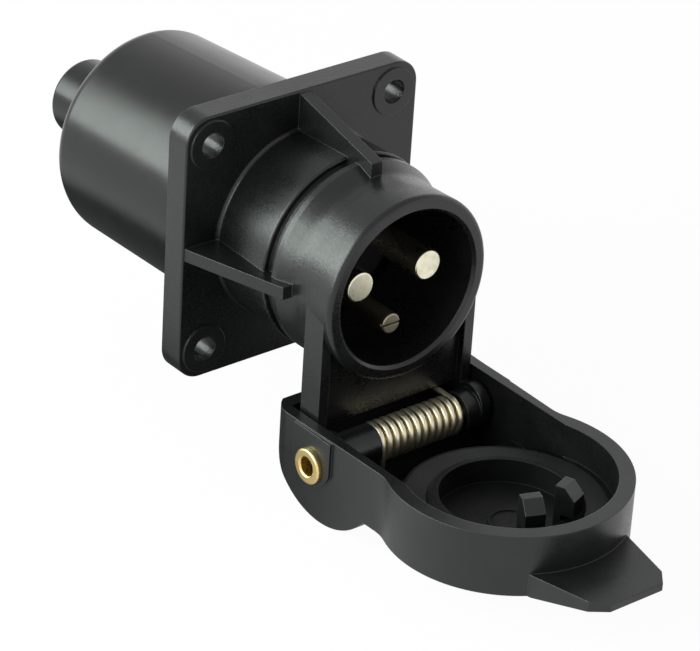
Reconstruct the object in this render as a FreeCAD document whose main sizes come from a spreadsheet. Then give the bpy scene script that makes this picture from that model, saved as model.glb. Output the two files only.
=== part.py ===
"""Three-pole car power socket: square flange housing, sprung lid, rubber rear boot.

Row frame: origin at the centre of the flange's back face, +X to the right
when the mouth is faced, the barrel points along -Y, +Z up. Millimetres.
The lid is drawn standing open at right angles to the mouth.
"""
import FreeCAD
import Part
import Sketcher
import math
import os

doc = FreeCAD.newDocument("power_socket")
sheet = doc.addObject("Spreadsheet::Sheet", "sizes")

SIZES = {
    # flange
    "flange_width": 57.3,
    "flange_thick": 5.6,
    "flange_corner": 5.4,
    "flange_edge": 0.4,
    "hole_spacing": 45.0,
    "hole_radius": 2.6,
    "pad_radius": 5.1,
    "pad_height": 0.35,
    # barrel
    "mouth_depth": 40.2,
    "bore_radius": 16.4,
    "mouth_radius": 19.6,
    "neck_radius": 19.25,
    "taper_length": 3.7,
    "neck_length": 2.9,
    "front_collar_radius": 20.7,
    "groove_front": 23.1,
    "groove_back": 21.2,
    "groove_radius": 19.6,
    "rear_collar_radius": 20.9,
    "barrel_radius": 20.2,
    "barrel_fillet": 0.8,
    "collar_fillet": 0.45,
    "taper_fillet": 5.0,
    "mouth_round": 1.15,
    "mouth_bevel": 0.6,
    "hub_radius": 25.5,
    "boot_seat_gap": 0.7,
    "boot_seat_depth": 0.4,
    # spigot and insert seat
    "spigot_radius": 19.6,
    "spigot_length": 9.0,
    "seat_front": 15.0,
    "seat_back": 11.0,
    "ledge_radius": 15.2,
    "rear_bore_radius": 17.4,
    # gussets
    "gusset_thick": 2.7,
    "gusset_root": 28.1,
    "gusset_front": 28.4,
    "top_gusset_tip": 22.4,
    "side_gusset_tip": 21.6,
    "gusset_foot": 18.2,
    # hinge
    "hinge_depth": 41.0,
    "hinge_drop": 31.5,
    "lug_outer": 19.3,
    "lug_thick": 2.3,
    "lug_front": 38.35,
    "lug_back": 32.8,
    "boss_radius": 4.35,
    "boss_end": 8.3,
    "right_boss_end": 13.7,
    "eye_radius": 4.5,
    "eye_rise": 1.0,
    "boss_overlap": 0.2,
    "web_front": 36.8,
    "web_back": 34.3,
    "web_bottom": 27.0,
    "web_top": 12.0,
    "rivet_radius": 2.6,
    "rivet_bore": 1.95,
    "running_gap": 0.05,
    "rivet_head_radius": 3.7,
    "rivet_head": 1.05,
    "rivet_flare_radius": 3.4,
    "rivet_flare": 0.8,
    "rivet_round": 0.45,
    # lid, with lengths from the hinge axis
    "side_view_margin": 6.0,
    "cavity_bevel": 1.5,
    "lid_rim_drop": 23.9,
    "lid_radius": 24.2,
    "lid_bore": 21.0,
    "lid_neck": 21.5,
    "waist_radius": 9.0,
    "lid_hip": 22.5,
    "lid_side_bore": 20.0,
    "lid_rear": 13.8,
    "lid_rear_corner": 5.5,
    "lid_underside": 36.8,
    "belly_ahead": 3.0,
    "belly_drop": 27.6,
    "belly_radius": 15.5,
    "belly_side_drop": 29.5,
    "belly_wall": 1.9,
    "cavity_front": 10.3,
    "cavity_rear_drop": 31.5,
    "seat_margin": 0.2,
    "seal_outer": 19.7,
    "seal_inner": 15.2,
    "seal_thick": 1.6,
    "seal_level": 31.0,
    "seal_gap": 0.05,
    "lip_inner": 13.1,
    "lip_level": 29.7,
    "lip_bevel": 1.0,
    "recess_floor": 34.8,
    "mark_place": 2.0,
    "mark_radius": 4.6,
    "mark_height": 0.3,
    "cheek_height": 0.3,
    "cheek_radius": 5.5,
    "rim_round": 0.4,
    # tab, with lengths from the middle of the round lid
    "tab_level": 32.0,
    "tab_root": 20.8,
    "tab_root_half": 12.3,
    "tab_side": 34.0,
    "tab_side_half": 9.2,
    "tab_tip": 37.2,
    "tab_tip_half": 6.5,
    "tab_tip_under": 33.5,
    "tab_slope_start": 21.7,
    # plug hooks in the lid
    "hook_angle": 21.0,
    "hook_width": 4.1,
    "hook_inner": 11.0,
    "hook_crest": 12.9,
    "hook_neck": 12.6,
    "hook_tip": 15.2,
    "hook_top": 22.6,
    "hook_tip_level": 25.0,
    "hook_undercut": 28.6,
    "hook_foot": 0.5,
    # contact insert and pins
    "insert_face": 16.5,
    "insert_back": 4.0,
    "insert_flange_back": 7.0,
    "insert_gap": 0.1,
    "insert_hub_radius": 14.2,
    "island_height": 1.0,
    "island_margin": 1.3,
    "pin_tip": 35.8,
    "pin_spread": 8.43,
    "pin_rise": 0.9,
    "pin_radius": 3.15,
    "low_pin_drop": 9.6,
    "low_pin_radius": 2.2,
    "pin_bevel": 0.35,
    "shank_radius": 1.9,
    "shank_gap": 0.05,
    "terminal_radius": 3.3,
    "terminal_end": 14.0,
    "wire_hole_radius": 1.5,
    "wire_hole_depth": 7.5,
    "pin_slot": 0.5,
    "pin_slot_depth": 0.8,
    "screw_place": 10.0,
    "screw_radius": 1.2,
    "screw_head_radius": 1.9,
    "screw_head": 1.3,
    "screw_reach": 1.7,
    "screw_slot": 0.5,
    "screw_slot_depth": 0.6,
    # lid spring
    "wire_radius": 0.6,
    "coil_radius": 3.6,
    "coil_pitch": 1.79,
    "coil_turns": 11.25,
    "coil_start": -7.6,
    "lid_leg": 8.0,
    "web_leg": 6.0,
    # rear boot
    "boot_droop": 2.65,
    "boot_front_radius": 23.5,
    "boot_rear_radius": 22.7,
    "boot_rear": 47.0,
    "boot_wall": 2.6,
    "boot_bore_length": 9.3,
    "boot_bead": 0.9,
    "boot_corner": 3.2,
    "boot_cone": 50.5,
    "boot_cone_radius": 11.5,
    "outlet_radius": 8.5,
    "outlet_bore": 5.6,
    "throat_radius": 7.0,
    "throat_length": 4.6,
    "outlet_end": 68.5,
    "outlet_round": 0.9,
}


class Size:
    """A length that knows its value and the sheet formula it comes from."""

    def __init__(self, value, text):
        self.value = value
        self.text = text

    def __add__(self, other):
        other = as_size(other)
        return Size(self.value + other.value, f"({self.text} + {other.text})")

    def __sub__(self, other):
        other = as_size(other)
        return Size(self.value - other.value, f"({self.text} - {other.text})")

    def __mul__(self, factor):
        return Size(self.value * factor, f"({self.text} * {factor})")

    def __truediv__(self, divisor):
        return Size(self.value / divisor, f"({self.text} / {divisor})")

    def __neg__(self):
        return Size(-self.value, f"(0 - {self.text})")


def as_size(thing):
    if isinstance(thing, Size):
        return thing
    return Size(float(thing), str(float(thing)))


def fill_sheet():
    for row, (name, value) in enumerate(SIZES.items(), start=1):
        sheet.set(f"A{row}", name)
        sheet.set(f"B{row}", str(value))
        sheet.setAlias(f"B{row}", name)
    doc.recompute()


def size(name):
    return Size(float(sheet.get(name)), f"sizes.{name}")


def third_side(slope, side):
    """The other short side of a right-angled triangle."""
    length = math.sqrt(slope.value ** 2 - side.value ** 2)
    return Size(length, f"sqrt({slope.text}^2 - {side.text}^2)")


# helpers for bodies, sketches and features

def new_body(label):
    body = doc.addObject("PartDesign::Body", label)
    body.Label = label
    return body


def plane(body, role):
    for feature in body.Origin.OriginFeatures:
        if feature.Role == role:
            return feature
    raise ValueError(role)


def new_sketch(body, name, role, lift=None, turn=None):
    sketch = body.newObject("Sketcher::SketchObject", name)
    sketch.AttachmentSupport = [(plane(body, role), "")]
    sketch.MapMode = "FlatFace"
    if lift is not None:
        sketch.setExpression("AttachmentOffset.Base.z", lift.text)
    if turn is not None:
        sketch.setExpression("AttachmentOffset.Rotation.Angle", turn.text)
    return sketch


def bind(sketch, kind, first, second, length):
    """Tie the distance between two sketch points, or a radius, to the sheet."""
    index = sketch.addConstraint(Sketcher.Constraint(kind, *first, *second, length.value))
    sketch.setExpression(f"Constraints[{index}]", length.text)


def pin_down(sketch, curve, point, across, along):
    """Fix one sketch point at a place measured from the sketch origin."""
    origin = (-1, 1)
    for kind, axis, length in (("DistanceX", -2, across), ("DistanceY", -1, along)):
        if abs(length.value) < 1e-9:
            sketch.addConstraint(Sketcher.Constraint("PointOnObject", curve, point, axis))
        elif length.value > 0:
            bind(sketch, kind, origin, (curve, point), length)
        else:
            bind(sketch, kind, (curve, point), origin, -length)


def arc_between(start, end, radius):
    """The shorter arc from start to end that turns left (positive radius) or right."""
    middle = (start + end) * 0.5
    chord = end - start
    half = chord.Length / 2
    rise = math.sqrt(max(radius * radius - half * half, 0.0))
    left = FreeCAD.Vector(-chord.y, chord.x, 0).normalize()
    side = 1 if radius > 0 else -1
    centre = middle + left * (rise * side)
    circle = Part.Circle(centre, FreeCAD.Vector(0, 0, 1), abs(radius))
    first = math.atan2(start.y - centre.y, start.x - centre.x)
    last = math.atan2(end.y - centre.y, end.x - centre.x)
    if radius > 0:
        return Part.ArcOfCircle(circle, first, last)
    return Part.ArcOfCircle(circle, last, first)


def outline(sketch, corners):
    """Draw a closed outline. A corner is (across, along) or (across, along, radius):
    with a radius, the curve that leaves it is an arc, turning left if positive."""
    spots = [(as_size(c[0]), as_size(c[1])) for c in corners]
    bends = [as_size(c[2]) if len(c) > 2 else None for c in corners]
    places = [FreeCAD.Vector(a.value, b.value, 0) for a, b in spots]
    ends = []
    for index, bend in enumerate(bends):
        start = places[index]
        end = places[(index + 1) % len(places)]
        if bend is None:
            curve = sketch.addGeometry(Part.LineSegment(start, end), False)
        else:
            curve = sketch.addGeometry(arc_between(start, end, bend.value), False)
        turned = bend is not None and bend.value < 0
        ends.append((curve, 2, 1) if turned else (curve, 1, 2))
    for index, (curve, first, last) in enumerate(ends):
        after = ends[(index + 1) % len(ends)]
        sketch.addConstraint(Sketcher.Constraint("Coincident", curve, last, after[0], after[1]))
        pin_down(sketch, curve, first, *spots[index])
        bend = bends[index]
        if bend is not None:
            bind(sketch, "Radius", (curve,), (), bend if bend.value > 0 else -bend)


def ring(sketch, across, along, radius):
    across, along = as_size(across), as_size(along)
    centre = FreeCAD.Vector(across.value, along.value, 0)
    circle = Part.Circle(centre, FreeCAD.Vector(0, 0, 1), radius.value)
    curve = sketch.addGeometry(circle, False)
    pin_down(sketch, curve, 3, across, along)
    bind(sketch, "Radius", (curve,), (), radius)


def pad(body, name, sketch, length, reverse=False, middle=False):
    feature = body.newObject("PartDesign::Pad", name)
    feature.Profile = sketch
    feature.setExpression("Length", length.text)
    feature.Reversed = reverse
    feature.SideType = "Symmetric" if middle else "One side"
    sketch.Visibility = False
    return grown(body, feature)


def pocket(body, name, sketch, length, reverse=False, middle=False):
    feature = body.newObject("PartDesign::Pocket", name)
    feature.Profile = sketch
    feature.setExpression("Length", length.text)
    feature.Reversed = reverse
    feature.SideType = "Symmetric" if middle else "One side"
    return shrunk(body, feature)


def revolve(body, name, sketch, axis):
    feature = body.newObject("PartDesign::Revolution", name)
    feature.Profile = sketch
    feature.ReferenceAxis = (sketch, [axis])
    feature.Angle = 360
    return grown(body, feature)


def turn_out(body, name, sketch, axis):
    feature = body.newObject("PartDesign::Groove", name)
    feature.Profile = sketch
    feature.ReferenceAxis = (sketch, [axis])
    feature.Angle = 360
    return shrunk(body, feature)


volumes = {}


def grown(body, feature):
    """Recompute and make sure that the feature added material."""
    doc.recompute()
    before = volumes.get(body.Name, 0.0)
    after = feature.Shape.Volume
    if after <= before + 1e-6:
        raise RuntimeError(f"{feature.Name} added nothing: {before} {after}")
    volumes[body.Name] = after
    return feature


def shrunk(body, feature):
    """Recompute and make sure that the feature took material away."""
    doc.recompute()
    before = volumes[body.Name]
    after = feature.Shape.Volume
    if not 0 < after < before - 1e-6:
        raise RuntimeError(f"{feature.Name} removed nothing: {before} {after}")
    volumes[body.Name] = after
    return feature


def edge_names(shape, test):
    return [f"Edge{i}" for i, edge in enumerate(shape.Edges, start=1) if test(edge)]


def soften(body, name, radius, test, kind="Fillet"):
    """Round or bevel the edges of the body's last feature that pass the test."""
    base = body.Tip
    names = edge_names(base.Shape, test)
    if not names:
        raise RuntimeError(f"{name} found no edges")
    feature = body.newObject(f"PartDesign::{kind}", name)
    feature.Base = (base, names)
    feature.setExpression("Radius" if kind == "Fillet" else "Size", radius.text)
    doc.recompute()
    volumes[body.Name] = feature.Shape.Volume
    return feature


def is_circle(edge):
    return hasattr(edge.Curve, "Radius") and hasattr(edge.Curve, "Center")


def circle_at(radius, depth):
    """Test for a circle round the Y axis of this radius at this Y."""
    def test(edge):
        if not is_circle(edge):
            return False
        same_radius = abs(edge.Curve.Radius - radius.value) < 0.01
        return same_radius and abs(edge.Curve.Center.y - depth.value) < 0.01
    return test


def any_of(*tests):
    return lambda edge: any(test(edge) for test in tests)


def runs_along(edge, axis):
    if not isinstance(edge.Curve, Part.Line):
        return False
    return abs(getattr(edge.Curve.Direction, axis)) > 0.999


def fillet_all(body, name, radius, *tests):
    return soften(body, name, radius, any_of(*tests))


# the moulded housing

def barrel(body):
    sketch = new_sketch(body, "barrel_profile", "XY_Plane")
    back = -size("flange_thick")
    taper_start = -size("groove_front") - size("collar_fillet") * 4
    taper_end = taper_start - size("taper_length")
    outline(sketch, [
        (0, size("spigot_length")),
        (0, -size("mouth_depth")),
        (size("mouth_radius"), -size("mouth_depth")),
        (size("neck_radius"), taper_end - size("neck_length")),
        (size("neck_radius"), taper_end),
        (size("front_collar_radius"), taper_start),
        (size("front_collar_radius"), -size("groove_front")),
        (size("groove_radius"), -size("groove_front")),
        (size("groove_radius"), -size("groove_back")),
        (size("rear_collar_radius"), -size("groove_back")),
        (size("barrel_radius"), back),
        (size("hub_radius"), back),
        (size("hub_radius"), 0),
        (size("spigot_radius"), 0),
        (size("spigot_radius"), size("spigot_length")),
    ])
    revolve(body, "barrel_turned", sketch, "V_Axis")
    fillet_all(body, "barrel_root", size("barrel_fillet"), circle_at(size("barrel_radius"), back))
    fillet_all(
        body, "collar_edges", size("collar_fillet"),
        circle_at(size("rear_collar_radius"), -size("groove_back")),
        circle_at(size("front_collar_radius"), -size("groove_front")),
    )
    fillet_all(
        body, "taper_blend", size("taper_fillet"),
        circle_at(size("neck_radius"), taper_end),
    )
    fillet_all(
        body, "mouth_edge", size("mouth_round"),
        circle_at(size("mouth_radius"), -size("mouth_depth")),
    )


def flange(body):
    half = size("flange_width") / 2
    sketch = new_sketch(body, "flange_square", "XZ_Plane")
    outline(sketch, [(-half, -half), (half, -half), (half, half), (-half, half)])
    pad(body, "flange_plate", sketch, size("flange_thick"))

    def corner(edge):
        middle = edge.CenterOfMass
        far = min(abs(middle.x), abs(middle.z)) > half.value - 0.01
        return runs_along(edge, "y") and far
    soften(body, "flange_corners", size("flange_corner"), corner)

    def front_edge(edge):
        middle = edge.CenterOfMass
        box = edge.BoundBox
        on_front = abs(box.YMin + size("flange_thick").value) + box.YLength < 0.01
        return on_front and max(abs(middle.x), abs(middle.z)) > half.value - 2.5
    soften(body, "flange_front_edge", size("flange_edge"), front_edge)


def flange_holes(body):
    half = size("hole_spacing") / 2
    places = [(half, half), (-half, half), (-half, -half), (half, -half)]
    sketch = new_sketch(body, "hole_pads", "XZ_Plane", lift=size("flange_thick"))
    for across, up in places:
        ring(sketch, across, up, size("pad_radius"))
    pad(body, "hole_pads_raised", sketch, size("pad_height"))
    sketch = new_sketch(body, "bolt_holes", "XZ_Plane")
    for across, up in places:
        ring(sketch, across, up, size("hole_radius"))
    pocket(body, "bolt_holes_cut", sketch, size("flange_width"), middle=True)


def gussets(body):
    root, front = size("gusset_root"), -size("gusset_front")
    foot, back = size("gusset_foot"), -size("flange_thick") / 2
    face = -size("flange_thick")
    tip = size("top_gusset_tip")
    sketch = new_sketch(body, "top_gusset_side", "YZ_Plane")
    outline(sketch, [(back, foot), (front, foot), (front, tip), (face, root), (back, root)])
    pad(body, "top_gusset", sketch, size("gusset_thick"), middle=True)
    tip = size("side_gusset_tip")
    sketch = new_sketch(body, "side_gussets_plan", "XY_Plane")
    for side in (1, -1):
        outline(sketch, [
            (foot * side, back), (root * side, back), (root * side, face),
            (tip * side, front), (foot * side, front),
        ])
    pad(body, "side_gussets", sketch, size("gusset_thick"), middle=True)


def hinge_lugs(body):
    axis_y, axis_z = -size("hinge_depth"), -size("hinge_drop")
    inner = size("lug_outer") - size("lug_thick")
    bend = axis_z + size("eye_radius")
    for side, name in ((1, "right"), (-1, "left")):
        lift = inner if side > 0 else -size("lug_outer")
        sketch = new_sketch(body, f"{name}_lug_side", "YZ_Plane", lift=lift)
        outline(sketch, [
            (-size("lug_front"), 0),
            (-size("lug_front"), bend),
            (axis_y, axis_z),
            (-size("lug_back"), bend),
            (-size("lug_back"), 0),
        ])
        pad(body, f"{name}_lug", sketch, size("lug_thick"))
        sketch = new_sketch(body, f"{name}_eye_round", "YZ_Plane", lift=lift)
        ring(sketch, axis_y, axis_z + size("eye_rise"), size("eye_radius"))
        pad(body, f"{name}_eye", sketch, size("lug_thick"))
    spans = (
        ("left_boss", -size("lug_outer"), size("lug_outer") - size("boss_end")),
        ("right_boss", size("right_boss_end"), size("lug_outer") - size("right_boss_end")),
    )
    for name, lift, length in spans:
        sketch = new_sketch(body, f"{name}_round", "YZ_Plane", lift=lift)
        ring(sketch, axis_y, axis_z, size("boss_radius"))
        pad(body, name, sketch, length)
    half = inner + size("boss_overlap")
    sketch = new_sketch(body, "web_front_view", "XZ_Plane", lift=size("web_back"))
    outline(sketch, [
        (-half, -size("web_bottom")), (half, -size("web_bottom")),
        (half, -size("web_top")), (-half, -size("web_top")),
    ])
    pad(body, "web", sketch, size("web_front") - size("web_back"))
    sketch = new_sketch(body, "rivet_hole", "YZ_Plane")
    ring(sketch, axis_y, axis_z, size("rivet_radius") + size("running_gap"))
    pocket(body, "rivet_hole_cut", sketch, size("flange_width"), middle=True)


def housing_bore(body):
    beyond = size("mouth_depth") + size("mouth_bevel")
    sketch = new_sketch(body, "bore_profile", "XY_Plane")
    outline(sketch, [
        (0, -beyond),
        (size("bore_radius") + size("mouth_bevel") * 2, -beyond),
        (size("bore_radius"), -size("mouth_depth") + size("mouth_bevel")),
        (size("bore_radius"), -size("seat_front")),
        (size("ledge_radius"), -size("seat_front")),
        (size("ledge_radius"), -size("seat_back")),
        (size("rear_bore_radius"), -size("seat_back")),
        (size("rear_bore_radius"), size("spigot_length") * 1.1),
        (0, size("spigot_length") * 1.1),
    ])
    turn_out(body, "bore_cut", sketch, "V_Axis")


def boot_seat(body):
    """A shallow ring in the flange's back for the boot's front edge."""
    sketch = new_sketch(body, "boot_seat_ring", "XZ_Plane")
    ring(sketch, 0, 0, size("boot_front_radius") + size("boot_seat_gap"))
    ring(sketch, 0, 0, size("spigot_radius"))
    pocket(body, "boot_seat_cut", sketch, size("boot_seat_depth"), reverse=True)


def make_housing():
    body = new_body("housing")
    barrel(body)
    flange(body)
    flange_holes(body)
    boot_seat(body)
    gussets(body)
    hinge_lugs(body)
    housing_bore(body)
    return body


# the contact insert and its pins

PINS = (
    ("pin_left", -1, "pin_radius"),
    ("pin_right", 1, "pin_radius"),
    ("pin_lower", 0, "low_pin_radius"),
)


def pin_place(side):
    if side == 0:
        return as_size(0), -size("low_pin_drop")
    return size("pin_spread") * side, size("pin_rise")


def make_insert():
    body = new_body("contact_insert")
    gap = size("insert_gap")
    seat = -size("seat_back")
    sketch = new_sketch(body, "insert_profile", "XY_Plane")
    outline(sketch, [
        (0, size("insert_back")),
        (0, -size("insert_face")),
        (size("ledge_radius") - gap, -size("insert_face")),
        (size("ledge_radius") - gap, seat),
        (size("rear_bore_radius") - gap, seat),
        (size("rear_bore_radius") - gap, -size("insert_flange_back")),
        (size("insert_hub_radius"), -size("insert_flange_back")),
        (size("insert_hub_radius"), size("insert_back")),
    ])
    revolve(body, "insert_turned", sketch, "V_Axis")
    sketch = new_sketch(body, "islands", "XZ_Plane", lift=size("insert_face"))
    for _, side, radius in PINS:
        across, up = pin_place(side)
        ring(sketch, across, up, size(radius) + size("island_margin"))
    pad(body, "islands_raised", sketch, size("island_height"))
    sketch = new_sketch(body, "pin_holes", "XZ_Plane")
    for _, side, _ in PINS:
        across, up = pin_place(side)
        ring(sketch, across, up, size("shank_radius") + size("shank_gap"))
    pocket(body, "pin_holes_cut", sketch, size("mouth_depth"), middle=True)
    return body


def make_pin(name, side, radius_name):
    body = new_body(name)
    across, up = pin_place(side)
    radius = size(radius_name)
    shoulder = size("insert_face") + size("island_height")
    sketch = new_sketch(body, f"{name}_profile", "XY_Plane")
    outline(sketch, [
        (0, size("terminal_end")),
        (0, -size("pin_tip")),
        (radius, -size("pin_tip")),
        (radius, -shoulder),
        (size("shank_radius"), -shoulder),
        (size("shank_radius"), size("insert_back")),
        (size("terminal_radius"), size("insert_back")),
        (size("terminal_radius"), size("terminal_end")),
    ])
    revolve(body, f"{name}_turned", sketch, "V_Axis")
    fillet_all(
        body, f"{name}_edges", size("pin_bevel"),
        circle_at(radius, -size("pin_tip")),
        circle_at(size("terminal_radius"), size("terminal_end")),
    )
    sketch = new_sketch(body, f"{name}_wire_hole", "XZ_Plane", lift=-size("terminal_end"))
    ring(sketch, 0, 0, size("wire_hole_radius"))
    pocket(body, f"{name}_wire_hole_cut", sketch, size("wire_hole_depth"), reverse=True)
    sketch = new_sketch(body, f"{name}_screw_hole", "XY_Plane")
    ring(sketch, 0, size("screw_place"), size("screw_radius"))
    pocket(body, f"{name}_screw_hole_cut", sketch, size("pin_radius") * 2, reverse=side != 0)
    if side == 0:
        half = size("pin_slot") / 2
        wide = radius * 1.2
        sketch = new_sketch(body, f"{name}_slot", "XZ_Plane", lift=size("pin_tip"))
        outline(sketch, [(-wide, -half), (wide, -half), (wide, half), (-wide, half)])
        pocket(body, f"{name}_slot_cut", sketch, size("pin_slot_depth"))
    place(body, across, 0, up)
    return body


def place(body, across, along, up):
    lengths = (("x", across), ("y", along), ("z", up))
    for axis, length in lengths:
        body.setExpression(f"Placement.Base.{axis}", as_size(length).text)


def make_terminal_screw(name, side):
    """A cheese-head clamp screw that stands on the terminal, head outward."""
    body = new_body(name)
    across, up = pin_place(side)
    facing = -1 if side == 0 else 1
    seat = size("terminal_radius") * facing
    top = seat + size("screw_head") * facing
    sketch = new_sketch(body, f"{name}_profile", "XZ_Plane")
    outline(sketch, [
        (0, size("screw_reach") * facing),
        (size("screw_radius"), size("screw_reach") * facing),
        (size("screw_radius"), seat),
        (size("screw_head_radius"), seat),
        (size("screw_head_radius"), top),
        (0, top),
    ])
    revolve(body, f"{name}_turned", sketch, "V_Axis")
    half = size("screw_slot") / 2
    low = top - size("screw_slot_depth") * facing
    sketch = new_sketch(body, f"{name}_slot", "XZ_Plane")
    outline(sketch, [(-half, low), (half, low), (half, top * 1.2), (-half, top * 1.2)])
    pocket(body, f"{name}_slot_cut", sketch, size("screw_head_radius") * 3, middle=True)
    place(body, across, size("screw_place"), up)
    return body


# the lid

def lid_middle():
    return -size("hinge_depth") - size("hinge_drop")


def ahead(name):
    """A place in front of the hinge axis, towards the lid's tab."""
    return -size("hinge_depth") - size(name)


def behind(name):
    return -size("hinge_depth") + size(name)


def lid_solid(body):
    rim = -size("lid_rim_drop")
    depth = size("belly_drop") + size("belly_radius") - size("lid_rim_drop")
    centre = lid_middle()
    sketch = new_sketch(body, "lid_round_plan", "XY_Plane", lift=rim)
    ring(sketch, 0, centre, size("lid_radius"))
    pad(body, "lid_round", sketch, depth, reverse=True)
    sketch = new_sketch(body, "lid_neck_plan", "XY_Plane", lift=rim)
    neck, hip, corner = size("lid_neck"), size("lid_hip"), size("lid_rear_corner")
    rear = behind("lid_rear")
    outline(sketch, [
        (-neck, centre),
        (neck, centre),
        (hip, rear - corner, corner),
        (hip - corner, rear),
        (corner - hip, rear, corner),
        (-hip, rear - corner),
    ])
    pad(body, "lid_neck_block", sketch, depth, reverse=True)

    def waist(edge):
        box = edge.BoundBox
        upright = box.XLength < 0.01 and box.YLength < 0.01
        return upright and 1 < box.YMin - centre.value < size("lid_radius").value
    fillet_all(body, "lid_waist", size("waist_radius"), waist)
    sketch = new_sketch(body, "tab_plan", "XY_Plane", lift=-size("tab_level"))
    root, side, tip = (centre - size(name) for name in ("tab_root", "tab_side", "tab_tip"))
    outline(sketch, [
        (-size("tab_root_half"), root),
        (-size("tab_side_half"), side),
        (-size("tab_tip_half"), tip),
        (size("tab_tip_half"), tip),
        (size("tab_side_half"), side),
        (size("tab_root_half"), root),
    ])
    pad(body, "tab", sketch, depth + size("lid_rim_drop") - size("tab_level"), reverse=True)


def lid_side_shape(body):
    """Cut the lid's outside to its side view: flat underside, round belly at the hinge."""
    radius, margin = size("belly_radius"), size("side_view_margin")
    under = -size("lid_underside")
    above, below = margin - size("lid_rim_drop"), under - radius
    rear, tip = behind("lid_rear"), lid_middle() - size("tab_tip")
    start = ahead("belly_ahead") + third_side(radius, size("belly_side_drop") - size("belly_drop"))
    stop = ahead("belly_ahead") - third_side(radius, size("lid_underside") - size("belly_drop"))
    sketch = new_sketch(body, "lid_side_view", "YZ_Plane")
    outline(sketch, [
        (rear + margin, above),
        (rear, above),
        (start, -size("belly_side_drop"), -radius),
        (stop, under),
        (lid_middle() - size("tab_slope_start"), under),
        (tip, -size("tab_tip_under")),
        (tip - margin, -size("tab_tip_under")),
        (tip - margin, below),
        (rear + margin, below),
    ])
    pocket(body, "lid_underside_cut", sketch, size("lid_radius") * 3, middle=True)


def well_radius():
    return size("belly_radius") - size("belly_wall")


def well_back():
    """Where the hollow's rear wall stands, on the belly's inner round."""
    rise = size("cavity_rear_drop") - size("belly_drop")
    return ahead("belly_ahead") + third_side(well_radius(), rise)


def lid_hollow(body):
    rim, level = -size("lid_rim_drop"), size("seal_level")
    centre, back, bevel = lid_middle(), well_back(), size("cavity_bevel")
    depth = level - size("lid_rim_drop")
    sketch = new_sketch(body, "lid_bore_plan", "XY_Plane", lift=rim)
    ring(sketch, 0, centre, size("lid_bore"))
    pocket(body, "lid_bore_cut", sketch, depth)
    side = size("lid_side_bore")
    sketch = new_sketch(body, "hinge_room_plan", "XY_Plane", lift=rim)
    outline(sketch, [
        (-side, centre), (side, centre),
        (side, back), (-side, back),
    ])
    pocket(body, "hinge_room_cut", sketch, depth)
    front, end = ahead("cavity_front"), ahead("cavity_front") + bevel
    floor = -size("belly_drop") - third_side(well_radius(), ahead("belly_ahead") - end)
    sketch = new_sketch(body, "hinge_well_side", "YZ_Plane")
    outline(sketch, [
        (back, -level + bevel),
        (back, -size("cavity_rear_drop"), -well_radius()),
        (end, floor),
        (front, floor + bevel),
        (front, -level + bevel),
    ])
    pocket(body, "hinge_well_cut", sketch, side * 2, middle=True)


def lid_seat(body):
    centre = lid_middle()
    level = size("seal_level")
    side = size("lid_side_bore")
    seat = side + size("seat_margin")
    start = centre + third_side(seat, side)
    sketch = new_sketch(body, "seat_surround_plan", "XY_Plane", lift=-level)
    rear = ahead("cavity_front") + size("cavity_bevel")
    outline(sketch, [(side, start, seat), (-side, start), (-side, rear), (side, rear)])
    pocket(body, "seat_surround_cut", sketch, size("recess_floor") - level)
    sketch = new_sketch(body, "seal_seat_plan", "XY_Plane", lift=-level)
    ring(sketch, 0, centre, size("seal_outer"))
    pocket(body, "seal_seat_cut", sketch, size("seal_thick"))
    sketch = new_sketch(body, "lip_plan", "XY_Plane", lift=-level - size("seal_thick"))
    ring(sketch, 0, centre, size("seal_inner"))
    pad(body, "lip_raised", sketch, level + size("seal_thick") - size("lip_level"))

    def lip_edge(edge):
        high = abs(edge.BoundBox.ZMin + size("lip_level").value) < 0.01
        return is_circle(edge) and high and edge.BoundBox.ZLength < 0.01
    soften(body, "lip_edge", size("lip_bevel"), lip_edge, kind="Chamfer")
    sketch = new_sketch(body, "recess_plan", "XY_Plane", lift=-size("lip_level"))
    ring(sketch, 0, centre, size("lip_inner"))
    pocket(body, "recess_cut", sketch, size("recess_floor") - size("lip_level"))
    sketch = new_sketch(body, "gate_mark_plan", "XY_Plane", lift=-size("recess_floor"))
    for radius in (size("mark_radius"), size("mark_radius") - size("mark_height") * 2):
        ring(sketch, 0, centre - size("mark_place"), radius)
    pad(body, "gate_mark", sketch, size("mark_height"))


def lid_hooks(body):
    """Two claws that hold a plug when the lid is let down on it, set out round the seat."""
    foot = -size("recess_floor") - size("hook_foot")
    for side, name in ((1, "right"), (-1, "left")):
        sketch = new_sketch(body, f"{name}_hook_side", "YZ_Plane")
        angle = size("hook_angle") if side > 0 else -size("hook_angle")
        turn_about_lid(sketch, angle)
        outline(sketch, [
            (-size("hook_inner"), foot),
            (-size("hook_inner"), -size("hook_top")),
            (-size("hook_crest"), -size("hook_top")),
            (-size("hook_tip"), -size("hook_tip_level")),
            (-size("hook_tip"), -size("hook_undercut")),
            (-size("hook_neck"), -size("hook_undercut")),
            (-size("hook_neck"), foot),
        ])
        pad(body, f"{name}_hook", sketch, size("hook_width"), middle=True)


def turn_about_lid(sketch, angle):
    """Set a side-view sketch in the lid's middle and turn it round the upright axis."""
    sketch.setExpression("AttachmentOffset.Base.x", lid_middle().text)
    sketch.AttachmentOffset = turned((0, 1, 0), angle.value)
    sketch.setExpression("AttachmentOffset.Rotation.Angle", angle.text)


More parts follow.
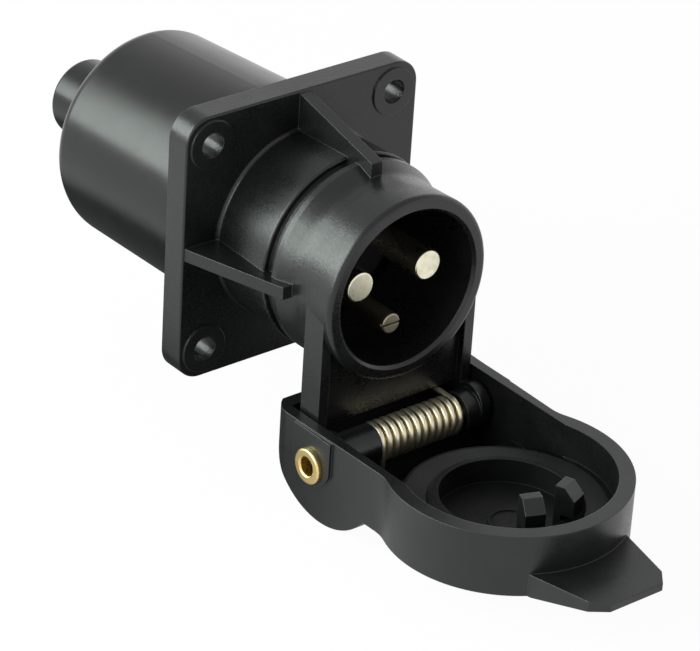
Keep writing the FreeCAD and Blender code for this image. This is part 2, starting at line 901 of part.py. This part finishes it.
def lid_pivot(body):
    axis_y, axis_z = -size("hinge_depth"), -size("hinge_drop")
    reach = size("cheek_radius")
    inner = size("lid_side_bore") + 0.5
    thick = size("lid_hip") + size("cheek_height") - inner
    for side, name in ((1, "right"), (-1, "left")):
        lift = inner if side > 0 else -size("lid_hip") - size("cheek_height")
        sketch = new_sketch(body, f"{name}_cheek_side", "YZ_Plane", lift=lift)
        outline(sketch, [
            (axis_y - reach, -size("lid_rim_drop") - size("rim_round")),
            (axis_y - reach, axis_z, reach * 1.05),
            (axis_y + reach, axis_z),
            (axis_y + reach, -size("lid_rim_drop") - size("rim_round")),
        ])
        pad(body, f"{name}_cheek", sketch, thick)
    sketch = new_sketch(body, "lid_rivet_hole", "YZ_Plane")
    ring(sketch, axis_y, axis_z, size("rivet_radius") + size("running_gap"))
    pocket(body, "lid_rivet_hole_cut", sketch, size("flange_width"), middle=True)


def make_lid():
    body = new_body("lid")
    lid_solid(body)
    lid_side_shape(body)
    lid_hollow(body)
    lid_seat(body)
    lid_hooks(body)
    lid_pivot(body)
    return body


def make_seal():
    """A flat rubber ring in the lid, built from two cylinders."""
    solids = []
    radii = (size("seal_outer") - size("seal_gap"), size("seal_inner") + size("seal_gap"))
    for name, radius in zip(("seal_disc", "seal_hole"), radii):
        cylinder = doc.addObject("Part::Cylinder", name)
        cylinder.setExpression("Radius", radius.text)
        cylinder.setExpression("Height", size("seal_thick").text)
        solids.append(cylinder)
    seal = doc.addObject("Part::Cut", "lid_seal")
    seal.Base, seal.Tool = solids
    seal.Label = "lid_seal"
    centre = -size("hinge_depth") - size("hinge_drop")
    place(seal, 0, centre, -size("seal_level") - size("seal_thick"))
    return seal


# hinge rivet and spring

def make_rivet():
    body = new_body("hinge_rivet")
    seat = size("lid_hip") + size("cheek_height") + size("running_gap")
    sketch = new_sketch(body, "rivet_profile", "XY_Plane")
    outline(sketch, [
        (-seat - size("rivet_head"), size("rivet_bore")),
        (-seat - size("rivet_head"), size("rivet_head_radius")),
        (-seat, size("rivet_head_radius")),
        (-seat, size("rivet_radius")),
        (seat, size("rivet_radius")),
        (seat, size("rivet_flare_radius")),
        (seat + size("rivet_flare"), size("rivet_flare_radius")),
        (seat + size("rivet_flare"), size("rivet_bore")),
    ])
    revolve(body, "rivet_turned", sketch, "H_Axis")
    ends = (seat.value + size("rivet_head").value, seat.value + size("rivet_flare").value)

    def end_edge(edge):
        return is_circle(edge) and min(abs(abs(edge.CenterOfMass.x) - e) for e in ends) < 0.01
    soften(body, "rivet_edges", size("rivet_round"), end_edge)
    place(body, 0, -size("hinge_depth"), -size("hinge_drop"))
    return body


def make_spring():
    """A left-hand coil swept along a helix, one leg on the lid and one under the web."""
    height = size("coil_pitch") * SIZES["coil_turns"]
    helix = doc.addObject("Part::Helix", "spring_path")
    helix.setExpression("Pitch", size("coil_pitch").text)
    helix.setExpression("Height", "sizes.coil_pitch * sizes.coil_turns")
    helix.setExpression("Radius", size("coil_radius").text)
    helix.LocalCoord = "Left-handed"
    wire = doc.addObject("Part::Circle", "spring_wire")
    wire.setExpression("Radius", size("wire_radius").text)
    wire.Placement = turned((1, 0, 0), 90)
    wire.setExpression("Placement.Base.x", size("coil_radius").text)
    coil = doc.addObject("Part::Sweep", "spring_coil")
    coil.Sections = [wire]
    coil.Spine = (helix, [])
    coil.Solid = True
    coil.Frenet = True
    lid_leg = spring_leg("spring_lid_leg", size("lid_leg"), turned((1, 0, 0), -90))
    place(lid_leg, size("coil_radius"), 0, 0)
    web_leg = spring_leg("spring_web_leg", size("web_leg"), turned((0, 1, 0), -90))
    place(web_leg, 0, -size("coil_radius"), height)
    spring = doc.addObject("Part::MultiFuse", "lid_spring")
    spring.Shapes = [coil, lid_leg, web_leg]
    spring.Label = "lid_spring"
    # the coil's own X, Y and Z point along the row's -Y, -Z and X
    spring.Placement = turned((1, -1, 1), -120)
    place(spring, size("coil_start"), -size("hinge_depth"), -size("hinge_drop"))
    return spring


def turned(axis, angle):
    rotation = FreeCAD.Rotation(FreeCAD.Vector(*axis), angle)
    return FreeCAD.Placement(FreeCAD.Vector(), rotation)


def spring_leg(name, length, placement):
    leg = doc.addObject("Part::Cylinder", name)
    leg.setExpression("Radius", size("wire_radius").text)
    leg.setExpression("Height", length.text)
    leg.Placement = placement
    return leg


# the rubber boot

def make_boot():
    body = new_body("rear_boot")
    droop = -size("boot_droop")
    front = size("boot_front_radius")
    sketch = new_sketch(body, "boot_profile", "YZ_Plane", turn=droop)
    outline(sketch, [
        (-size("flange_thick"), 0),
        (size("outlet_end"), 0),
        (size("outlet_end"), size("outlet_radius")),
        (size("boot_cone"), size("outlet_radius")),
        (size("boot_rear"), size("boot_cone_radius")),
        (size("boot_rear"), size("boot_rear_radius")),
        (size("boot_bore_length"), front),
        (-size("flange_thick"), front),
    ])
    revolve(body, "boot_turned", sketch, "H_Axis")
    lean = math.radians(size("boot_droop").value)

    def tilted_circle(radius, along):
        def test(edge):
            if not is_circle(edge):
                return False
            spot = edge.Curve.Center
            reach = spot.y * math.cos(lean) - spot.z * math.sin(lean)
            return abs(edge.Curve.Radius - radius.value) < 0.01 and abs(reach - along.value) < 0.05
        return test
    fillet_all(
        body, "boot_corner_round", size("boot_corner"),
        tilted_circle(size("boot_rear_radius"), size("boot_rear")),
    )
    fillet_all(
        body, "outlet_rounds", size("outlet_round"),
        tilted_circle(size("outlet_radius"), size("outlet_end")),
        tilted_circle(size("outlet_radius"), size("boot_cone")),
        tilted_circle(size("boot_cone_radius"), size("boot_rear")),
    )
    wide = front * 2
    start, beyond = -size("boot_seat_depth"), -size("flange_thick") * 3
    sketch = new_sketch(body, "boot_front_trim", "YZ_Plane")
    outline(sketch, [(beyond, -wide), (start, -wide), (start, wide), (beyond, wide)])
    pocket(body, "boot_front_cut", sketch, wide * 2, middle=True)
    sketch = new_sketch(body, "spigot_room", "XZ_Plane", lift=size("boot_seat_depth"))
    ring(sketch, 0, 0, size("spigot_radius") + size("running_gap"))
    pocket(body, "spigot_room_cut", sketch, size("boot_bore_length") - start)
    wall = size("boot_wall")
    sketch = new_sketch(body, "boot_hollow", "YZ_Plane", turn=droop)
    inner = size("boot_rear_radius") - wall
    outline(sketch, [
        (size("boot_bore_length") - 1, 0),
        (size("outlet_end") + 1, 0),
        (size("outlet_end") + 1, size("outlet_bore")),
        (size("boot_rear") - wall + size("throat_length"), size("outlet_bore")),
        (size("boot_rear") - wall + size("throat_length"), size("throat_radius")),
        (size("boot_rear") - wall, size("throat_radius")),
        (size("boot_rear") - wall, inner),
        (size("boot_bore_length") + size("boot_bead") * 3, inner + 0.5),
        (size("boot_bore_length") - 1, size("spigot_radius") - size("boot_bead")),
    ])
    turn_out(body, "boot_hollow_cut", sketch, "H_Axis")
    return body


def check_and_save(parts):
    doc.recompute()
    for thing in doc.Objects:
        state = set(thing.State)
        if "Invalid" in state or "Error" in state:
            raise RuntimeError(f"{thing.Name} is {thing.State}")
    for part in parts:
        shape = part.Shape
        if shape.isNull() or not shape.isValid():
            raise RuntimeError(f"{part.Label} has no valid shape")
        if len(shape.Solids) != 1:
            raise RuntimeError(f"{part.Label} has {len(shape.Solids)} solids")
    os.makedirs("parts", exist_ok=True)
    for part in parts:
        part.Shape.exportStep(f"parts/{part.Label}.step")
        box = part.Shape.BoundBox
        print(part.Label, round(part.Shape.Volume, 1), [
            round(v, 2) for v in (box.XMin, box.XMax, box.YMin, box.YMax, box.ZMin, box.ZMax)])


def main():
    fill_sheet()
    parts = [make_housing(), make_insert()]
    for name, side, radius in PINS:
        parts.append(make_pin(name, side, radius))
        parts.append(make_terminal_screw(name.replace("pin", "terminal_screw"), side))
    parts += [make_lid(), make_seal(), make_rivet(), make_spring(), make_boot()]
    check_and_save(parts)


main()
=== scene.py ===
"""Looks of the car power socket: black mouldings, rubber, tinned pins, brass rivet and sprung hinge."""
import math

import bpy
from mathutils import Matrix, Vector


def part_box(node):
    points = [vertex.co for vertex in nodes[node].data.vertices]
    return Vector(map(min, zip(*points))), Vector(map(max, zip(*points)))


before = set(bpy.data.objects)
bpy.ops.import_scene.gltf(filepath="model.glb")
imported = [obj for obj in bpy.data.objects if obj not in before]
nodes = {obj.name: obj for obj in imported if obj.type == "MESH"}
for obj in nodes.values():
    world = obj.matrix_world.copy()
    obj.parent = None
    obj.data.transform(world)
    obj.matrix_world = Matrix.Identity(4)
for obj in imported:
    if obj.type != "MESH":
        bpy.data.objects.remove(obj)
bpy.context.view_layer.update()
MM = 0.001


# small helpers

def linear(colour):
    """An sRGB hex colour as linear red, green, blue and alpha."""
    levels = [int(colour[i:i + 2], 16) / 255 for i in (1, 3, 5)]
    return [v / 12.92 if v <= 0.04045 else ((v + 0.055) / 1.055) ** 2.4 for v in levels] + [1.0]


def add(tree, kind, settings=None, links=None):
    """Add a shader node, set its fields and sockets, and link sockets to other nodes' outputs."""
    node = tree.nodes.new("ShaderNode" + kind)
    for name, value in (settings or {}).items():
        if isinstance(name, int) or name in node.inputs:
            node.inputs[name].default_value = value
        else:
            setattr(node, name, value)
    for name, output in (links or {}).items():
        tree.links.new(output, node.inputs[name])
    return node


def new_material(name):
    """An empty material and its shader tree."""
    material = bpy.data.materials.new(name)
    material.use_nodes = True
    material.node_tree.nodes.clear()
    return material, material.node_tree


def per_mm(size):
    """The texture scale that gives features of this size in millimetres."""
    return 1.0 / (size * MM)


def close_material(tree, shader):
    """Make this shader the material's surface."""
    add(tree, "OutputMaterial", links={"Surface": shader.outputs[0]})


def noise_at(tree, place, size, detail=3.0, roughness=0.55):
    """Noise with blotches of this size in millimetres."""
    settings = {"Scale": per_mm(size), "Detail": detail, "Roughness": roughness}
    return add(tree, "TexNoise", settings, {"Vector": place})


def spread(tree, value, low, high, start=0.3, stop=0.7):
    """Turn a noise value between start and stop into one between low and high."""
    settings = {"From Min": start, "From Max": stop, "To Min": low, "To Max": high}
    return add(tree, "MapRange", settings, {"Value": value}).outputs["Result"]


def mix_colour(tree, share, first, second):
    """Blend two colours; each is a hex text or another node's output."""
    node = add(tree, "Mix", {"data_type": "RGBA"})
    tree.links.new(share, node.inputs["Factor"])
    for socket, colour in ((node.inputs[6], first), (node.inputs[7], second)):
        if isinstance(colour, str):
            socket.default_value = linear(colour)
        else:
            tree.links.new(colour, socket)
    return node.outputs[2]


def edge_share(tree, radius, power):
    """How much a point lies on an outer or inner edge, from a rounded normal."""
    rounded = add(tree, "Bevel", {"samples": 6, "Radius": radius * MM})
    real = add(tree, "NewGeometry")
    dot = add(tree, "VectorMath", {"operation": "DOT_PRODUCT"}, {
        0: rounded.outputs["Normal"], 1: real.outputs["Normal"]})
    return add(tree, "MapRange", {"From Min": 0.995, "From Max": 0.75, "To Max": power}, {
        "Value": dot.outputs["Value"]}).outputs["Result"]


# mouldings and rubber

EDGE_ROUND, PALE_EDGE, CLOUD_SIZE, SMUDGE_SIZE = 0.25, 0.3, 14.0, 6.0
FLOW_SIZE, FLOW_DEPTH, FLOW_SCALE = 1.1, 0.02, (0.12, 1.0, 1.0)


def moulded(name, dark, light, edge, rough, grain, depth, flow=0.0, uneven=0.05, shine=0.5):
    """A moulded black material: cloudy pigment, fine grain, faint flow marks and paler rounded edges,
    partly wear and partly a painted edge highlight.
    The grain's size and depth are in millimetres."""
    material, tree = new_material(name)
    place = add(tree, "TexCoord").outputs["Object"]
    cloud = noise_at(tree, place, CLOUD_SIZE).outputs["Fac"]
    body = mix_colour(tree, spread(tree, cloud, 0.0, 1.0), dark, light)
    # the paler rounded edges are partly wear and partly a painted edge highlight
    wear_and_edge_sheen = mix_colour(tree, edge_share(tree, PALE_EDGE, 0.45), body, edge)
    fine = noise_at(tree, place, grain, detail=3.0, roughness=0.6).outputs["Fac"]
    stretched = add(tree, "Mapping", {"Scale": FLOW_SCALE}, {"Vector": place}).outputs[0]
    streak = noise_at(tree, stretched, FLOW_SIZE, detail=4.0).outputs["Fac"]
    rounded = add(tree, "Bevel", {"samples": 6, "Radius": EDGE_ROUND * MM})
    streaked = add(tree, "Bump", {"Strength": flow, "Distance": FLOW_DEPTH * MM}, {
        "Height": streak, "Normal": rounded.outputs["Normal"]})
    bump = add(tree, "Bump", {"Strength": 0.5, "Distance": depth * MM}, {
        "Height": fine, "Normal": streaked.outputs["Normal"]})
    smudge = spread(tree, noise_at(tree, place, SMUDGE_SIZE, detail=4.0).outputs["Fac"], -uneven, uneven)
    sparkle = spread(tree, fine, rough - uneven, rough + uneven)
    gloss = add(tree, "Math", {"operation": "ADD"}, {0: smudge, 1: sparkle})
    shader = add(tree, "BsdfPrincipled", {"IOR": 1.5, "Specular IOR Level": shine}, {
        "Base Color": wear_and_edge_sheen, "Roughness": gloss.outputs[0], "Normal": bump.outputs["Normal"]})
    close_material(tree, shader)
    return material


# metals

METAL_EDGE_ROUND, STAIN_SIZE = 0.12, 2.2


def plated(name, colour, stain, rough, lines, depth):
    """A plated or drawn metal: faint stains and very fine tool marks.
    The marks' spacing and depth are in millimetres."""
    material, tree = new_material(name)
    place = add(tree, "TexCoord").outputs["Object"]
    cloud = noise_at(tree, place, STAIN_SIZE, detail=4.0).outputs["Fac"]
    scratch = noise_at(tree, place, lines, detail=2.0).outputs["Fac"]
    tone = mix_colour(tree, spread(tree, cloud, 0.0, 0.6, 0.45, 0.75), colour, stain)
    rounded = add(tree, "Bevel", {"samples": 6, "Radius": METAL_EDGE_ROUND * MM})
    bump = add(tree, "Bump", {"Strength": 0.3, "Distance": depth * MM}, {
        "Height": scratch, "Normal": rounded.outputs["Normal"]})
    gloss = spread(tree, cloud, rough, rough + 0.12)
    shader = add(tree, "BsdfPrincipled", {"Metallic": 1.0}, {
        "Base Color": tone, "Roughness": gloss, "Normal": bump.outputs["Normal"]})
    close_material(tree, shader)
    return material


# the finish of each piece

# glass-filled nylon, moulded in a spark-eroded tool: satin with a sandy grain and grey edges, partly wear
# and partly a painted edge highlight
housing_nylon = moulded("glass_filled_nylon", "#111212", "#191a1a", "#474b49", 0.3, 0.6, 0.07, 0.3)
# the lid's nylon comes from another tool, a little smoother
lid_nylon = moulded("lid_nylon", "#121314", "#1a1b1c", "#4b4f50", 0.33, 0.6, 0.025, 0.2)
# inside the lid the same nylon is rougher; its darker colour and weaker shine are painted shade in the
# recess, so it stays almost black
lid_recess_painted_shade = moulded(
    "lid_recess_painted_shade", "#0a0a0b", "#101011", "#2c2e2f", 0.5, 0.6, 0.03, uneven=0.08, shine=0.22)
# phenolic insert, pressed: duller and darker in itself; its colour here is painted paler, as painted light
# deep inside the mouth
insert_phenolic_painted_light = moulded("pressed_phenolic_painted_light", "#1c1a1f", "#242228", "#35343a", 0.45, 0.6, 0.03)
# moulded rubber of the boot: smooth, with a broad sheen
boot_rubber = moulded(
    "moulded_rubber", "#0e0f0f", "#151615", "#3a3d3a", 0.22, 0.8, 0.006, uneven=0.02, shine=0.4)
# soft seal rubber: matt and slightly dusty
seal_rubber = moulded("seal_rubber", "#161717", "#212222", "#3c3e3d", 0.55, 0.5, 0.02)
# tin plate over turned brass: warm white, faint stains
tin_plate = plated("tin_plate", "#f4efd6", "#cfc8a8", 0.24, 0.3, 0.004)
# thinner tin on the lower pin, rubbed dull by plugs
dull_tin = plated("dull_tin", "#a8a28c", "#7c7460", 0.34, 0.3, 0.004)
# rolled brass tube
rivet_brass = plated("rolled_brass", "#f8df9e", "#d2a656", 0.2, 0.3, 0.003)
# bright drawn spring wire
spring_wire = plated("spring_wire", "#f6eed6", "#cec2a2", 0.34, 0.3, 0.003)
# zinc-plated clamp screws
zinc_plate = plated("zinc_plate", "#b9bcc0", "#8a8d90", 0.3, 0.2, 0.005)

FINISHES = {
    "housing": housing_nylon,
    "contact_insert": insert_phenolic_painted_light,
    "lid": lid_nylon,
    "lid_seal": seal_rubber,
    "hinge_rivet": rivet_brass,
    "rear_boot": boot_rubber,
    "lid_spring": spring_wire,
    "pin_left": tin_plate,
    "pin_right": tin_plate,
    "pin_lower": dull_tin,
    "terminal_screw_left": zinc_plate,
    "terminal_screw_right": zinc_plate,
    "terminal_screw_lower": zinc_plate,
}


def dress(node, material):
    """Give a piece this one material."""
    node.data.materials.clear()
    node.data.materials.append(material)


for name, material in FINISHES.items():
    dress(nodes[name], material)


# the lid's inside, painted with shade

LID_MIDDLE = -72.5 * MM
LID_INSIDE_RADIUS = 21.1 * MM
LID_RIM_LEVEL = -24.2 * MM
LID_UNDER_LEVEL = -41.3 * MM
LID_REAR = -30.9 * MM


def paint_lid_recess_shade(lid):
    """Give the faces inside the lid's rim, from its floor up, the rougher material that is painted dark as
    shade.
    """
    # the recess faces get a darker, less shiny copy of the nylon: painted shade
    lid.data.materials.append(lid_recess_painted_shade)
    for face in lid.data.polygons:
        middle = face.center
        ahead = min(middle.y - LID_MIDDLE, 0)
        inside = math.hypot(middle.x, ahead) < LID_INSIDE_RADIUS
        behind = middle.y < LID_REAR
        if inside and behind and LID_UNDER_LEVEL < middle.z < LID_RIM_LEVEL and face.normal.z > -0.1:
            face.material_index = 1


paint_lid_recess_shade(nodes["lid"])


# camera at the photograph's angle

AZIMUTH, ELEVATION, ROLL = (math.radians(v) for v in (-40.455, 29.103, 3.669))
AIM_RIGHT, AIM_UP, DISTANCE = 13.727 * MM, -23.406 * MM, 739.03 * MM
FOCAL_PIXELS, FRAME_WIDTH, SENSOR = 3700.0, 700.0, 36.0


def put_camera():
    """A camera turned and rolled as the photograph's, with the same narrow field of view."""
    back = Vector((
        math.sin(AZIMUTH) * math.cos(ELEVATION),
        -math.cos(AZIMUTH) * math.cos(ELEVATION),
        math.sin(ELEVATION),
    ))
    right = Vector((math.cos(AZIMUTH), math.sin(AZIMUTH), 0))
    up = back.cross(right)
    across = right * math.cos(ROLL) + up * math.sin(ROLL)
    upward = up * math.cos(ROLL) - right * math.sin(ROLL)
    eye = across * AIM_RIGHT + upward * AIM_UP + back * DISTANCE
    data = bpy.data.cameras.new("camera")
    data.sensor_width = SENSOR
    data.lens = FOCAL_PIXELS / FRAME_WIDTH * SENSOR
    data.clip_start, data.clip_end = 0.01, 20.0
    camera = bpy.data.objects.new("camera", data)
    bpy.context.scene.collection.objects.link(camera)
    turn = Matrix((across, upward, back)).transposed().to_4x4()
    camera.matrix_world = Matrix.Translation(eye) @ turn
    bpy.context.scene.camera = camera


# studio

LAMP_TINT = (0.89, 1.0, 0.94)
LAMP_AIM = (0, -0.03, -0.01)
KEY_PLACE, KEY_SIZE, KEY_POWER = (-0.74, 0.31, 0.38), (1.2, 0.66), 15.5
# SHADED_PAPER is a painted shadow, which reflections see on the floor under the object
PAPER, SHADED_PAPER = "#f6f6f6", "#202020"
SHADOW_PATCH_PLACE, SHADOW_PATCH_SCALE = (0.1, -0.4, 0), (20.0, 11.0, 0)


def put_lamp(name, place, size, power):
    """A soft rectangular lamp, aimed at the barrel; its size is in metres and its power in watts."""
    data = bpy.data.lights.new(name, "AREA")
    data.shape = "RECTANGLE"
    data.size, data.size_y = size
    data.energy = power
    data.color = LAMP_TINT
    lamp = bpy.data.objects.new(name, data)
    bpy.context.scene.collection.objects.link(lamp)
    lamp.location = place
    lamp.rotation_mode = "QUATERNION"
    lamp.rotation_quaternion = (Vector(LAMP_AIM) - Vector(place)).to_track_quat("-Z", "Y")


def ray_share(tree, camera, glossy, other):
    """A value for rays from the camera or through clear things, one for reflections and one for others."""
    path = add(tree, "LightPath")
    mirrored = add(tree, "MapRange", {"To Min": other}, {
        "Value": path.outputs["Is Glossy Ray"], "To Max": glossy}).outputs["Result"]
    seen = add(tree, "Math", {"operation": "MAXIMUM"}, {
        0: path.outputs["Is Camera Ray"], 1: path.outputs["Is Transmission Ray"]})
    straight = add(tree, "MapRange", {"To Min": 0.0, "To Max": camera}, {"Value": seen.outputs[0]})
    return add(tree, "Math", {"operation": "MAXIMUM"}, {
        0: mirrored, 1: straight.outputs["Result"]}).outputs[0]


FLOOR_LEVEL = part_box("lid")[0][2] - 0.1 * MM
FLOOR_SIDE = 6.0


def put_floor():
    """A white floor just under the lid. Reflections see a painted shadow on it, dark under the object, and
    white further off.
    """
    bpy.ops.object.select_all(action="DESELECT")
    bpy.ops.mesh.primitive_plane_add(size=FLOOR_SIDE, location=(0, 0, FLOOR_LEVEL))
    floor = bpy.context.object
    floor.name = "floor"
    material, tree = new_material("white_floor")
    place = add(tree, "TexCoord").outputs["Object"]
    # painted shadow: a dark patch under the object, seen only by reflections
    shadow_patch = add(tree, "Mapping", {"Location": SHADOW_PATCH_PLACE, "Scale": SHADOW_PATCH_SCALE}, {"Vector": place})
    away = add(tree, "VectorMath", {"operation": "LENGTH"}, {0: shadow_patch.outputs[0]}).outputs["Value"]
    open_share = spread(tree, away, 0.05, 0.95, 0.8, 1.3)
    mirrored = add(tree, "LightPath").outputs["Is Glossy Ray"]
    shaded = mix_colour(tree, open_share, SHADED_PAPER, PAPER)
    paper = mix_colour(tree, mirrored, PAPER, shaded)
    plain = add(tree, "BsdfDiffuse", links={"Color": paper})
    glow = add(tree, "Emission", {"Color": (1, 1, 1, 1), "Strength": 1.0})
    mixed = add(tree, "MixShader", links={
        "Fac": ray_share(tree, 0.96, open_share, 0.0), 1: plain.outputs[0], 2: glow.outputs[0]})
    close_material(tree, mixed)
    floor.data.materials.append(material)


def light_world():
    """White behind the object; in reflections, walls bright near the horizon and dimmer overhead."""
    world = bpy.data.worlds.new("studio")
    world.use_nodes = True
    tree = world.node_tree
    tree.nodes.clear()
    upward = add(tree, "SeparateXYZ", links={0: add(tree, "TexCoord").outputs["Generated"]}).outputs["Z"]
    walls = spread(tree, upward, 1.2, 0.6, 0.2, 0.75)
    sky = add(tree, "Background", {"Color": (1, 1, 1, 1)}, {"Strength": ray_share(tree, 1.0, walls, 0.35)})
    add(tree, "OutputWorld", links={"Surface": sky.outputs[0]})
    bpy.context.scene.world = world


put_camera()
put_lamp("key_left", KEY_PLACE, KEY_SIZE, KEY_POWER)
put_floor()
light_world()
bpy.context.scene.view_settings.view_transform = "Standard"
